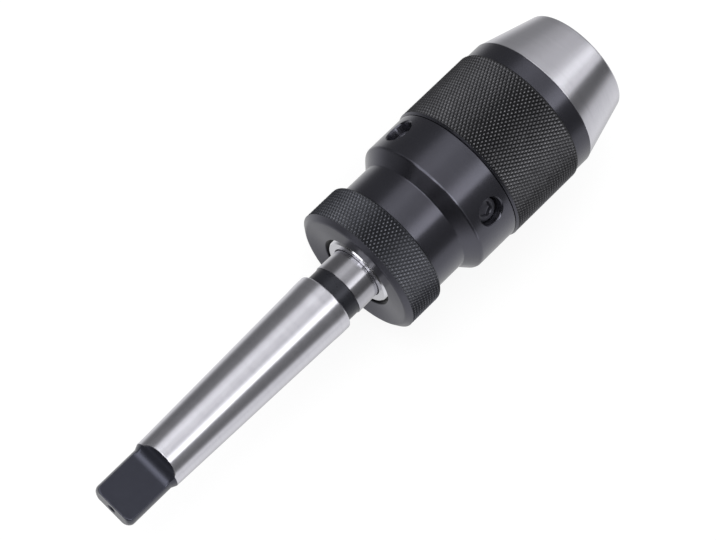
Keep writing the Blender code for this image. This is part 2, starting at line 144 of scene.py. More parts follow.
def nose_r(x):
    return RING_R - (x - RING_END) * NOSE_SLOPE


def nose_bore_r(x):
    return NOSE_BORE_R - (x - NOSE_REAR) * JAW_TAN


# Outlines and grids


def rounded(corners, closed=False, steps=6, guard=0.07):
    """Outline through corners (x, r, edge), each corner cut back to an arc of radius edge.

    The arc touches each side at edge / tan(half the corner's angle) from the corner, and its
    centre lies on the bisector at edge / sin(half the angle). A guard point near both ends of
    every long side keeps its shading straight.
    """
    line = []
    for i, (x, r, edge) in enumerate(corners):
        here = np.array((x, r), float)
        if not edge:
            line.append(here)
            continue
        before = np.array(corners[i - 1][:2]) - here
        after = np.array(corners[(i + 1) % len(corners)][:2]) - here
        before /= np.linalg.norm(before)
        after /= np.linalg.norm(after)
        half = math.acos(np.clip(before @ after, -1, 1)) / 2
        middle = (before + after) / np.linalg.norm(before + after)
        centre = here + middle * edge / math.sin(half)
        reach = edge / math.tan(half)
        first, last = here + before * reach - centre, here + after * reach - centre
        swing = math.pi - 2 * half
        share = np.linspace(0, 1, steps + 1)[:, None]
        arc = np.sin((1 - share) * swing) * first + np.sin(share * swing) * last
        line.extend(centre + arc / math.sin(swing))
    line = np.array(line)
    after = np.roll(line, -1, 0) if closed else line[1:]
    before = line if closed else line[:-1]
    step = after - before
    length = np.linalg.norm(step, axis=1)
    long = length > 5 * guard
    shift = np.where(long, guard / np.maximum(length, 1e-9), 0)[:, None]
    rows = np.stack((before, before + step * shift, after - step * shift), 1)
    keep = np.stack((np.ones(len(long), bool), long, long), 1)
    rows = rows[keep]
    return rows if closed else np.vstack((rows, line[-1]))


def circle(columns):
    """Angles evenly round the X axis, from +Z towards +Y."""
    return np.arange(columns) * 2 * math.pi / columns


def round_x(x, r, a):
    """Points (x, r sin a, r cos a)."""
    return np.stack((x + 0 * a, r * np.sin(a), r * np.cos(a)), -1)


def swept(outline, a):
    """Grid of an outline (x, r) turned round the X axis, with columns at the angles a."""
    return round_x(outline[:, :1], outline[:, 1:], a)


def new_piece(name, points, faces, finish, values=None, sharp=35.0):
    """A piece from points in millimetres. Doubles are merged and faces turned outwards."""
    mesh = bpy.data.meshes.new(name)
    mesh.from_pydata((points * MM).tolist(), [], faces.tolist())
    for key, data in (values or {}).items():
        mesh.attributes.new(key, "FLOAT", "POINT").data.foreach_set("value", data.ravel())
    work = bmesh.new()
    work.from_mesh(mesh)
    bmesh.ops.remove_doubles(work, verts=work.verts, dist=1e-7)
    bmesh.ops.recalc_face_normals(work, faces=work.faces)
    if work.calc_volume(signed=True) < 0:
        bmesh.ops.reverse_faces(work, faces=work.faces)
    work.to_mesh(mesh)
    work.free()
    shade(mesh, sharp)
    mesh.materials.append(finish)
    obj = bpy.data.objects.new(name, mesh)
    bpy.context.scene.collection.objects.link(obj)
    return obj


def shade(mesh, sharp):
    """Smooth shading, with every edge that turns more than sharp degrees kept crisp."""
    mesh.polygons.foreach_set("use_smooth", np.full(len(mesh.polygons), sharp > 0))
    if sharp > 0:
        mesh.set_sharp_from_angle(angle=math.radians(sharp))


def surface(name, points, finish, wrap=False, values=None, sharp=35.0):
    """A grid of points (rows, columns) as one skin of quads.

    The last column meets the first, and with wrap the last row meets the first. Without it the
    first and last rows lie on one point each and close the ends.
    """
    rows, columns = points.shape[:2]
    index = np.arange(rows * columns).reshape(rows, columns)
    here = index if wrap else index[:-1]
    there = np.roll(index, -1, 0) if wrap else index[1:]
    quads = np.stack((here, np.roll(here, -1, 1), np.roll(there, -1, 1), there), -1)
    return new_piece(name, points.reshape(-1, 3), quads.reshape(-1, 4), finish, values, sharp)


def turned(name, corners, finish, columns=192, wrap=True, sharp=35.0):
    """A turned piece; its formula is that of rounded and swept together."""
    return surface(name, swept(rounded(corners, wrap), circle(columns)), finish, wrap, None, sharp)


def cut(obj, cutters, sharp=35.0):
    """Takes the cutters out of a piece, keeps the result as its mesh and drops the cutters.

    The piece is made of triangles first, since a quad of a thread isn't flat.
    """
    obj.modifiers.new("triangles", "TRIANGULATE")
    for cutter in cutters:
        step = obj.modifiers.new("cut", "BOOLEAN")
        step.object = cutter
        step.operation = "DIFFERENCE"
        step.solver = "EXACT"
    bpy.context.view_layer.update()
    graph = bpy.context.evaluated_depsgraph_get()
    made = bpy.data.meshes.new_from_object(obj.evaluated_get(graph))
    finish = obj.data.materials[0]
    obj.modifiers.clear()
    obj.data = made
    made.materials.clear()
    made.materials.append(finish)
    shade(made, sharp)
    for cutter in cutters:
        bpy.data.objects.remove(cutter, do_unlink=True)


def place(obj, body, slot, *nodes):
    """Puts a piece on its body and hides the CAD nodes it stands for; slot is not used."""
    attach(obj, body)
    if nodes:
        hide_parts(*nodes)


# Finishes


class Nodes:
    """Adds shader nodes and links them in a few words."""

    def __init__(self, tree):
        self.tree = tree

    def add(self, kind, inputs=None, **settings):
        node = self.tree.nodes.new("ShaderNode" + kind)
        for key, value in settings.items():
            setattr(node, key, value)
        for key, value in (inputs or {}).items():
            if isinstance(value, bpy.types.NodeSocket):
                self.tree.links.new(value, node.inputs[key])
            else:
                node.inputs[key].default_value = value
        return node

    def math(self, operation, a, b=0.0, c=0.0):
        node = self.add("Math", {0: a, 1: b, 2: c}, operation=operation)
        return node.outputs[0]

    def dot(self, a, direction):
        node = self.add("VectorMath", {0: a, 1: direction}, operation="DOT_PRODUCT")
        return node.outputs["Value"]

    def scaled(self, a, sizes):
        return self.add("VectorMath", {0: a, 1: sizes}, operation="MULTIPLY").outputs[0]

    def noise(self, place, scale, detail=3.0, rough=0.55):
        inputs = {"Vector": place, "Scale": scale, "Detail": detail, "Roughness": rough}
        return self.add("TexNoise", inputs).outputs["Fac"]

    def span(self, value, low, high, to_low, to_high):
        inputs = {0: value, 1: low, 2: high, 3: to_low, 4: to_high}
        return self.add("MapRange", inputs, clamp=True).outputs[0]

    def blend(self, share, a, b):
        node = self.add("Mix", {0: share, 6: a, 7: b}, data_type="RGBA")
        return node.outputs[2]

    def ramp(self, value, stops):
        """Straight lines between (place from 0 to 1, level) stops."""
        node = self.add("ValToRGB", {0: value})
        line = node.color_ramp
        while len(line.elements) < len(stops):
            line.elements.new(0.5)
        for element, (where, level) in zip(line.elements, stops):
            element.position = where
            element.color = (level, level, level, 1)
        return node.outputs[0]


def grey(colour, times=1.0):
    return (*(min(1.0, c * times) for c in colour), 1.0)


def turned_metal(
    name, colour, roughness, lines=1.0, along=ACROSS_RINGS, mottle=0.02, extra=None, metallic=1.0
):
    """Metal turned or ground round the X axis.

    Noise squeezed along X and long round the axis gives the tool's fine rings, as bump and as
    changes of roughness; a coarse noise clouds the colour. extra(nodes, place, colour, rough)
    may change colour and roughness before they reach the shader. The blur of a reflection runs
    along X, across the rings.
    """
    made = bpy.data.materials.new(name)
    made.use_nodes = True
    nodes = Nodes(made.node_tree)
    shader = made.node_tree.nodes["Principled BSDF"]
    place = nodes.add("TexCoord").outputs["Object"]
    fine = nodes.noise(nodes.scaled(place, (5200, 70, 70)), 1.0, 2.0)
    broad = nodes.noise(nodes.scaled(place, (900, 25, 25)), 1.0, 3.0)
    cloud = nodes.noise(place, 160.0, 4.0, 0.6)
    shade_of = nodes.blend(
        nodes.span(cloud, 0.3, 0.7, 0, 1), grey(colour, 1 - mottle), grey(colour, 1 + mottle)
    )
    shade_of = nodes.blend(
        nodes.math("MULTIPLY", nodes.span(broad, 0.45, 0.75, 0, 1), 0.5 * lines),
        shade_of,
        grey(colour, 0.90),
    )
    rough = nodes.math("ADD", nodes.span(fine, 0.3, 0.7, -0.015, 0.015), roughness)
    rough = nodes.math("ADD", nodes.span(cloud, 0.3, 0.7, -0.01, 0.01), rough)
    if extra:
        shade_of, rough = extra(nodes, place, shade_of, rough)
    both = nodes.math("MULTIPLY_ADD", broad, 0.6, fine)
    bump = nodes.add(
        "Bump", {"Strength": 0.25 * lines, "Distance": 0.000012, "Height": both}
    )
    tree = made.node_tree
    tree.links.new(shade_of, shader.inputs["Base Color"])
    tree.links.new(rough, shader.inputs["Roughness"])
    tree.links.new(bump.outputs[0], shader.inputs["Normal"])
    shader.inputs["Metallic"].default_value = metallic
    if along:
        shader.inputs["Anisotropic"].default_value = along
        shader.inputs["Anisotropic Rotation"].default_value = 0.25
        tangent = nodes.add("Tangent", direction_type="RADIAL", axis="X")
        tree.links.new(tangent.outputs[0], shader.inputs["Tangent"])
    return made


def blackened(colour, band_colour, roughness):
    """Black oxide where the piece's coat value is 1, duller and greyer in front of the gauge
    plane; bare steel elsewhere, smoother on the short taper and darker there by painted shade.
    """

    def extra(nodes, place, shade_of, rough):
        coat = nodes.add("Attribute", attribute_name="coat").outputs["Fac"]
        dimmer = nodes.add("Attribute", attribute_name="dimmer").outputs["Fac"]
        cloud = nodes.noise(place, 500.0, 3.0)
        black = nodes.blend(
            nodes.span(cloud, 0.3, 0.7, 0, 1), grey(colour, 0.98), grey(colour, 1.02)
        )
        along = nodes.add("SeparateXYZ", {0: place}).outputs[0]
        band = nodes.span(along, 0, MM, 0, 1)
        black = nodes.blend(band, black, grey(band_colour))
        # painted shade: the short taper's bare steel is drawn 30 % darker
        less = nodes.math("SUBTRACT", 1.0, nodes.math("MULTIPLY", dimmer, 0.30))
        less = nodes.add("CombineXYZ", {0: less, 1: less, 2: less}).outputs[0]
        coat_rough = nodes.span(cloud, 0.3, 0.7, roughness - 0.02, roughness + 0.02)
        coat_rough = nodes.math("MULTIPLY_ADD", band, 0.06, coat_rough)
        keep = nodes.math("SUBTRACT", 1.0, coat)
        rough = nodes.math("MULTIPLY_ADD", dimmer, -0.09, rough)
        mixed = nodes.math("MULTIPLY", rough, keep)
        mixed = nodes.math("MULTIPLY_ADD", coat_rough, coat, mixed)
        return nodes.blend(coat, nodes.scaled(shade_of, less), black), mixed

    return extra


def painted_shade_inside(radius, least=0.1):
    """Painted shade: far less colour, and a matt face, within the radius, where little light gets
    in.
    """

    def extra(nodes, place, shade_of, rough):
        across = nodes.scaled(place, (0, 1, 1))
        reach = nodes.add("VectorMath", {0: across}, operation="LENGTH").outputs["Value"]
        share = nodes.span(reach, (radius + 0.02) * MM, (radius + 0.3) * MM, least, 1)
        rough = nodes.math("MULTIPLY_ADD", share, -0.5, nodes.math("ADD", rough, 0.5))
        share = nodes.add("CombineXYZ", {0: share, 1: share, 2: share}).outputs[0]
        return nodes.scaled(shade_of, share), rough

    return extra


def knurl_wear_and_painted_light(sizes, crest, finish, tint):
    """Crests brighter and smoother, partly by wear and partly as painted highlight; groove bottoms
    darker as painted shade, and duller.

    The share is the point's distance from the X axis, from the groove's bottom to the crest.
    """
    dark = tuple(c * t for c, t in zip(finish.knurl_groove, tint))
    bright = tuple(c * t for c, t in zip(finish.knurl_crest, tint))

    def extra(nodes, place, shade_of, rough):
        across = nodes.scaled(place, (0, 1, 1))
        radius = nodes.add("VectorMath", {0: across}, operation="LENGTH").outputs["Value"]
        share = nodes.span(radius, crest * MM - sizes.knurl_depth, crest * MM, 0, 1)
        cloud = nodes.noise(place, 260.0, 3.0)
        # lighter crests are partly wear, partly painted highlight; darker groove bottoms are
        # painted shade
        worn_and_lit = nodes.math("POWER", share, nodes.span(cloud, 0.3, 0.7, 1.8, 3.2))
        colour = nodes.blend(worn_and_lit, grey(dark), grey(bright))
        level = nodes.span(worn_and_lit, 0, 1, 0.44, 0.28)
        return colour, level

    return extra


# Sizes and colours that a user would change


def length(name, description, millimetres, low=0.0, high=50.0):
    return bpy.props.FloatProperty(
        name=name,
        description=description,
        default=millimetres * MM,
        min=low * MM,
        max=high * MM,
        precision=5,
        unit="LENGTH",
    )


def colour(name, description, value):
    return bpy.props.FloatVectorProperty(
        name=name, description=description, default=value, size=3, min=0, max=1, subtype="COLOR"
    )


class ChuckSizes(bpy.types.PropertyGroup):
    knurl_depth: length("Knurl depth", "Height of the knurl's crests over its grooves", 0.34)
    knurl_pitch: length("Knurl pitch", "Space between crests along the chuck", 1.95)
    sleeve_starts: bpy.props.IntProperty(
        name="Sleeve knurl starts", description="Grooves each way round the sleeve", default=122
    )
    grip_starts: bpy.props.IntProperty(
        name="Grip knurl starts", description="Grooves each way round the grip", default=113
    )
    thread_lead: length("Thread lead", "Travel of the draw screw in one turn", 4.0)
    thread_depth: length("Thread depth", "Height of the draw screw's thread", 0.9)
    broken_edge: length("Broken edge", "Rounding of the jaws' and guide's edges", 0.25)


class ChuckFinish(bpy.types.PropertyGroup):
    steel: colour("Ground steel", "Bare steel of the shank and nose", (0.595, 0.59, 0.64))
    hub: colour("Hub steel", "Turned ring round the short taper", (0.66, 0.66, 0.70))
    black: colour("Black oxide", "Smooth blackened steel", (0.083, 0.083, 0.101))
    coating: colour("Tang coating", "Blackened tang", (0.049, 0.051, 0.067))
    band: colour("Neck band", "Blackened band before the collar", (0.041, 0.042, 0.050))
    # knurl crests: wear and painted highlight; knurl grooves: painted shade
    knurl_crest: colour("Knurl crests", "Rubbed tips of the knurl", (0.165, 0.165, 0.168))
    knurl_groove: colour("Knurl grooves", "Bottoms of the knurl", (0.048, 0.048, 0.050))
    hard: colour("Hardened steel", "Jaws and races", (0.42, 0.415, 0.41))
    brass: colour("Cage brass", "Ball cage", (0.62, 0.45, 0.19))
    screw: colour("Draw screw", "Draw screw", (0.30, 0.30, 0.31))
    balls: colour("Balls", "Polished balls", (0.66, 0.66, 0.67))


# Pieces


def arbor_grid():
    """Grid of the arbor: rows along it, columns round it.

    Along the body a row lies in the plane of its x, and its radius is the smaller of the turned
    radius and h / |cos a|, where h is the height of the flat: half the tang's thickness, then
    the arc of the cutter's runout. Over the last millimetres rows leave one centre at slant
    angles instead, and the radius is the smaller of the way to the turned outline and
    h / (sin s |cos a|). The smaller is taken softly, which rounds the edges that the cutter left.
    """
    a = circle(240)
    edge = math.acos(TANG_HALF / TANG_R)
    near = np.radians(np.array((-2.4, -1.8, -1.3, -0.85, -0.4, 0.0, 0.4, 0.85, 1.3, 1.8, 2.4)))
    corners = np.array((edge, math.pi - edge, math.pi + edge, 2 * math.pi - edge))
    a = np.sort(np.concatenate((a, (corners[:, None] + near).ravel())))
    a = a[np.append(np.diff(a) > math.radians(0.25), True)]

    def softly(p, q, k):
        share = np.maximum(k - np.abs(p - q), 0) / k
        return np.minimum(p, q) - share**2 * k / 4

    sides = np.maximum(np.abs(np.cos(a)), 1e-6)
    middle = TANG_END + 3.0
    hole = np.array(((2.55, 0.0), (2.2, 0.7), (0.7, 0.7), (0.06, 1.33)))
    hole_rows = swept(np.column_stack((TANG_END + hole[:, 0], hole[:, 1])), a)

    turn = np.linspace(math.pi, math.pi / 2, 9)
    cap_x = np.concatenate((np.full(18, TANG_END), TANG_END + TANG_CORNER * (1 + np.cos(turn))))
    flat_r = np.array((1.42, 1.7, 2.1, 2.5, 2.75, 2.9, 3.0, 3.1, 3.2, 3.3, 3.45, 3.65, 3.9, 4.2))
    flat_r = np.append(flat_r, (4.5, 4.8, 5.0, 5.1))
    cap_r = np.concatenate((flat_r, TANG_R - TANG_CORNER * (1 - np.sin(turn))))
    cap_x = np.append(cap_x, TANG_END + np.array((2.0, 2.4, 2.8)))
    cap_r = np.append(cap_r, np.full(3, TANG_R))
    reach = np.hypot(cap_r, cap_x - middle)[:, None]
    slant = np.arctan2(cap_r, middle - cap_x)[:, None]
    way = softly(reach, TANG_HALF / (np.sin(slant) * sides), 0.3)
    cap_rows = round_x(middle - way * np.cos(slant), way * np.sin(slant), a)
    cap_coat = np.ones(way.shape)

    lift = np.radians(np.concatenate((np.arange(0, 60, 4.0), np.arange(60, 85, 2.5))))
    x = np.concatenate(
        (
            np.linspace(middle, FLAT_END - 0.3, 8),
            FLAT_END + RUNOUT_R * np.sin(lift),
            (CONE_START, CONE_START + 0.06, CONE_END - 0.06, CONE_END, CONE_END + 0.06),
        )
    )
    x = np.unique(np.round(x, 4))
    runout = np.sqrt(np.maximum(RUNOUT_R**2 - np.maximum(x - FLAT_END, 0) ** 2, 0))
    height = TANG_HALF + RUNOUT_R - runout
    r = np.interp(x, (CONE_START, CONE_END), (TANG_R, GAUGE_R + CONE_END * SLOPE))
    r = np.where(x > CONE_END, GAUGE_R + x * SLOPE, r)
    limit = height[:, None] / sides
    body = softly(r[:, None], limit, 0.22)
    body_rows = round_x(x[:, None], body, a)
    milled = limit < r[:, None] + 0.02
    body_coat = np.where(milled | (x[:, None] < CONE_END + 0.03), 1.0, 0.0)

    rest = rounded(
        [
            (x[-1] + 0.12, GAUGE_R + (x[-1] + 0.12) * SLOPE, 0),
            (-1.6, GAUGE_R - 1.6 * SLOPE, 40.0),
            (1.4, COLLAR_R, 20.0),
            (SHOULDER, COLLAR_R, 0.6),
            (SHOULDER, BAND_R, 0.2),
            (BAND_END, BAND_R, 0),
            (BAND_END + 0.02, taper_r(BAND_END) - 0.08, 0),
            (BAND_END + 0.12, taper_r(BAND_END), 0),
            (TAPER_END, taper_r(TAPER_END), 0.5),
            (TAPER_END, 0.0, 0),
        ]
    )
    rest_coat = np.where(
        (rest[:, 0] > SHOULDER - 0.03) & (rest[:, 0] < BAND_END + 0.01) & (rest[:, 1] < 8.4),
        1.0,
        0.0,
    )
    points = np.concatenate((hole_rows, cap_rows, body_rows, swept(rest, a)))
    coat = np.concatenate(
        (np.ones((4, len(a))), cap_coat, body_coat, rest_coat[:, None] + 0 * a)
    )
    # the last grid is 1 on the short taper, which gets painted shade
    return points, coat, np.where(points[..., 0] > BAND_END + 0.01, 1.0, 0.0)


def knurl_band(name, start, end, crest, inner, ends, starts, sizes, finish):
    """A closed ring with a diamond knurl outside.

    With p and q the two groove phases, n a / 2 pi + x / pitch and n a / 2 pi - x / pitch, each
    groove is a V whose height is 5/2 of the distance to the nearest whole phase, cut off at 1.
    The height of the knurl is the smaller of the two times the depth. Near each end
    the radius is also kept under the straight line of the edge's chamfer.
    """
    depth = sizes.knurl_depth / MM
    columns = 6 * starts
    rows = round((end - start) / (sizes.knurl_pitch / MM) * 6)
    i = np.arange(columns)
    j = np.arange(rows + 1)[:, None]
    x = start + (end - start) * j / rows

    def vee(phase):
        return np.minimum(1.0, 2.5 * np.abs(phase - np.round(phase)))

    p, q = vee((i + j) / 6), vee((i - j) / 6)
    r = crest - depth * (1 - np.minimum(p, q))
    low, high, drop = ends
    r = np.minimum(r, crest - low + np.maximum(x - start, 0) * low / drop)
    r = np.minimum(r, crest - high + np.maximum(end - x, 0) * high / drop)
    a = i * 2 * math.pi / columns
    outer = round_x(x, r, a)
    inside = swept(np.array(((end, inner), (start, inner))), a)
    points = np.concatenate((outer, inside))
    index = np.arange((rows + 3) * columns).reshape(rows + 3, columns)
    here, there = index, np.roll(index, -1, 0)
    quads = np.stack((here, np.roll(here, -1, 1), np.roll(there, -1, 1), there), -1)
    along_p = np.ones(quads.shape[:2], bool)
    along_p[:rows] = vee((i + j[:-1] + 1) / 6) <= vee((i - j[:-1]) / 6)
    first = np.where(along_p[..., None], quads[..., (0, 1, 3)], quads[..., (0, 1, 2)])
    second = np.where(along_p[..., None], quads[..., (1, 2, 3)], quads[..., (0, 2, 3)])
    faces = np.concatenate((first.reshape(-1, 3), second.reshape(-1, 3)))
    return new_piece(name, points.reshape(-1, 3), faces, finish, None, 0)


def turn_x(points, degrees):
    """Points turned about the X axis, from +Z towards -Y."""
    s, c = math.sin(math.radians(degrees)), math.cos(math.radians(degrees))
    x, y, z = points[..., 0], points[..., 1], points[..., 2]
    return np.stack((x, y * c - z * s, y * s + z * c), -1)


def lock_hole(index, angle):
    """Cutter for one lock screw's hole: a round bar whose last rows follow the housing.

    On the housing a circle of radius q round the hole's axis lies at height
    sqrt(R^2 - (q sin a)^2), so the flare that breaks the edge starts at an even depth below it.
    """
    a = circle(72)
    level = np.sqrt(HOUSING_R**2 - (LOCK_HOLE_R * np.sin(a)) ** 2)
    rows = []
    for q, z in (
        (0, 12.5 + 0 * a),
        (LOCK_HOLE_R, 12.5 + 0 * a),
        (LOCK_HOLE_R, level - 0.5),
        (LOCK_HOLE_R + 0.12, level - 0.28),
        (LOCK_HOLE_R + 0.8, level + 0.4),
        (LOCK_HOLE_R + 0.8, 24 + 0 * a),
        (0, 24 + 0 * a),
    ):
        rows.append(np.stack((LOCK_X + q * np.cos(a), q * np.sin(a), z), -1))
    finish = bpy.data.materials.get("black oxide")
    return surface(f"hole_cutter_{index}", turn_x(np.array(rows), angle), finish)


def lock_screw_grid(angle):
    """Grid of a set screw: socket, top face, threaded side and flat end, by rows.

    Round the socket the radius is f / cos(d), with f half the width across flats and d the
    angle from the nearest flat's middle. The side's radius goes in and out with height plus
    the share of a turn, which makes the thread.
    """
    a = circle(96)
    off = (a + math.pi / 6) % (math.pi / 3) - math.pi / 6
    hexagon = HEX_FLATS / 2 / np.cos(off)
    outer = LOCK_HOLE_R - 0.06
    top, bottom = LOCK_TOP, HUB_R + PLAY
    floor = top - HEX_DEEP
    rows = [
        (0 * a, floor - 0.55 + 0 * a),
        (hexagon * 0.98, floor + 0 * a),
        (hexagon, floor + 0.05 + 0 * a),
        (hexagon, top - 0.3 + 0 * a),
        (np.maximum(hexagon, HEX_FLATS / 2 + 0.24), top - 0.04 + 0 * a),
        (0 * a + HEX_FLATS / 2 + 0.42, top + 0 * a),
        (0 * a + outer - 0.62, top + 0 * a),
        (0 * a + outer - 0.5, top - 0.04 + 0 * a),
    ]
    for height in np.arange(top - 0.42, bottom + 0.5, -0.125):
        phase = (top - height) / 1.0 + a / (2 * math.pi)
        ridge = np.abs(phase - np.round(phase)) * 2
        rows.append((outer - 0.5 * ridge, height + 0 * a))
    rows += [(0 * a + outer - 0.5, bottom + 0.4 + 0 * a)]
    rows += [(0 * a + outer - 0.9, bottom + 0 * a), (0 * a, bottom + 0 * a)]
    grid = [np.stack((LOCK_X + q * np.cos(a), q * np.sin(a), z), -1) for q, z in rows]
    return turn_x(np.array(grid), angle)


def thread_rows(start, end, crest, root, widths, sizes, a, shift=0.0):
    """Rows (x, r) of a left-hand thread, two starts.

    The phase is x / pitch - starts a / 2 pi + shift, and its distance from the nearest whole
    number, times the pitch, tells how far a point lies from a crest's middle. The radius is the
    crest's up to the first width, the root's past the second, and a straight line between.
    """
    pitch = sizes.thread_lead / MM / THREAD_STARTS
    x = np.linspace(start, end, round(abs(end - start) / pitch * 14) + 1)[:, None]
    phase = x / pitch - THREAD_STARTS * a / (2 * math.pi) + shift
    off = np.abs(phase - np.round(phase)) * pitch
    r = crest + (root - crest) * np.clip((off - widths[0]) / (widths[1] - widths[0]), 0, 1)
    return x, r


def draw_screw_grid(sizes):
    """Grid of the draw screw before its slots: rear face, thread, front face and hole.

    At both ends the thread's radius is kept under a 45 degree line, which chamfers it.
    """
    a = circle(144)
    start, end = SCREW_LOW[0], SCREW_HIGH[0]
    root = THREAD_R - sizes.thread_depth / MM
    x, r = thread_rows(start, end, THREAD_R, root, (0.37, 0.67), sizes, a)
    r = np.minimum(r, root - 0.3 + np.minimum(x - start, end - x))
    hole = SCREW_HOLE_R
    inside = ((end, hole + 0.3), (end - 0.3, hole), (start + 0.3, hole), (start, hole + 0.3))
    return np.concatenate((round_x(x, r, a), swept(np.array(inside), a)))


def slot_cutters():
    """T-shaped bars that cut the three slots, from the axis out past the thread.

    Each bar is a grid of four rows: a point inside the T, the T's outline at the axis, the same
    outline past the thread, and the point again.
    """
    rear, step, front = SLOT_REAR, SLOT_FRONT, SCREW_HIGH[0] + 2
    half = [(rear, SLOT_WIDE), (step, SLOT_WIDE), (step, SLOT_NECK), (front, SLOT_NECK)]
    outline = np.array(half + [(x, -y) for x, y in reversed(half)])
    middle = 0 * outline + (step - 1, 0)
    rows = [(middle, 0), (outline, 0), (outline, THREAD_R + 2), (middle, THREAD_R + 2)]
    bar = np.stack([np.column_stack((flat, np.full(8, z))) for flat, z in rows])
    finish = bpy.data.materials.get("drawn screw")
    return [surface(f"slot_cutter_{i}", turn_x(bar, i * 120), finish, sharp=0) for i in range(3)]


def ball_grid(node):
    """Sphere about the middle of a CAD ball: rows by angle from the X axis, columns round it."""
    low, high = limits(node)
    a = circle(28)
    turn = np.linspace(0, math.pi, 15)[:, None]
    return (low + high) / 2 + BALL_R * round_x(-np.cos(turn), np.sin(turn), a)


def softened(name, node, edge, finish):
    """A copy of a CAD node with its flat faces joined up and its edges broken."""
    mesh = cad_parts[node].data.copy()
    mesh.name = name
    work = bmesh.new()
    work.from_mesh(mesh)
    bmesh.ops.remove_doubles(work, verts=work.verts, dist=1e-6)
    bmesh.ops.dissolve_limit(
        work, angle_limit=math.radians(0.6), verts=work.verts, edges=work.edges
    )
    bmesh.ops.recalc_face_normals(work, faces=work.faces)
    work.to_mesh(mesh)
    work.free()
    mesh.materials.clear()
    mesh.materials.append(finish)
    for name_of in [a.name for a in mesh.attributes if a.name.startswith("custom")]:
        mesh.attributes.remove(mesh.attributes[name_of])
    obj = bpy.data.objects.new(name, mesh)
    bpy.context.scene.collection.objects.link(obj)
    step = obj.modifiers.new("broken edges", "BEVEL")
    step.width = edge
    step.segments = 2
    step.limit_method = "ANGLE"
    step.angle_limit = math.radians(40)
    step.harden_normals = False
    shade(mesh, 30)
    return obj


class CHUCK_OT_arbor(bpy.types.Operator):
    """Arbor: milled tang, long taper, black band and short taper"""

    bl_idname = "chuck.arbor"
    bl_label = "Arbor"

    def execute(self, context):
        finish = context.scene.chuck_finish
        coat = blackened(finish.coating, finish.band, 0.22)
        steel = turned_metal("ground shank", finish.steel, 0.24, 0.8, extra=coat)
        nodes = Nodes(steel.node_tree)
        shader = steel.node_tree.nodes["Principled BSDF"]
        milled = nodes.add("Attribute", attribute_name="coat").outputs["Fac"]
        # the coating is an even, duller skin; the ground steel has its rings
        even = nodes.math("MULTIPLY_ADD", milled, -ACROSS_RINGS, ACROSS_RINGS)
        steel.node_tree.links.new(even, shader.inputs["Anisotropic"])
        metal = nodes.math("MULTIPLY_ADD", milled, -0.32, 1.0)
        steel.node_tree.links.new(metal, shader.inputs["Metallic"])
        shader.inputs["Specular IOR Level"].default_value = 0.15
        points, values, dimmer = arbor_grid()
        obj = surface("shank", points, steel, False, {"coat": values, "dimmer": dimmer})
        place(obj, "drive_body", "arbor_steel", "arbor")
        return {"FINISHED"}


class CHUCK_OT_hub(bpy.types.Operator):
    """Hub that holds the short taper and the draw screw's thread"""

    bl_idname = "chuck.hub"
    bl_label = "Hub"

    def execute(self, context):
        finish = context.scene.chuck_finish
        sizes = context.scene.chuck_sizes
        # painted shade darkens the hub's bore inside the short taper's mouth
        steel = turned_metal(
            "turned hub", finish.hub, 0.20, lines=1.4, extra=painted_shade_inside(HUB_MOUTH_R - 0.25, 0.3)
        )
        bore_end = TAPER_END + 0.6
        mouth = THREAD_R + PLAY
        rear = SCREW_LOW[0] - PLAY
        corners = [
            (rear, 3.5, 0),
            (bore_end, 3.5, 0.1),
            (bore_end, taper_r(bore_end) + 0.05, 0.2),
            (HUB_FACE + 0.9, taper_r(HUB_FACE) + 0.05, 0),
            (HUB_FACE, HUB_MOUTH_R, 0.12),
            (HUB_FACE, HUB_REAR_R - 0.32, 0.03),
            (HUB_FACE + 0.55, HUB_REAR_R, 0.05),
            (HUB_BODY, HUB_REAR_R, 0.2),
            (HUB_BODY, HUB_R, 0.3),
            (FLANGE_START, HUB_R, 0),
            (FLANGE_START, FLANGE_R, 0.2),
            (FLANGE_END, FLANGE_R, 0.2),
            (FLANGE_END, mouth + 0.7, 0),
        ]
        a = circle(192)
        ridge = THREAD_R - sizes.thread_depth / MM + 0.15
        x, r = thread_rows(FLANGE_END, rear + 2, ridge, mouth, (0.22, 0.57), sizes, a, 0.5)
        r = np.maximum(r, mouth + 0.6 - (FLANGE_END - x))
        r = np.maximum(r, mouth - (x - rear - 2))
        last = np.array([(rear, mouth)])
        points = np.concatenate((swept(rounded(corners), a), round_x(x, r, a), swept(last, a)))
        obj = surface("hub", points, steel, True)
        place(obj, "drive_body", "hub_steel", "drive_hub")
        return {"FINISHED"}


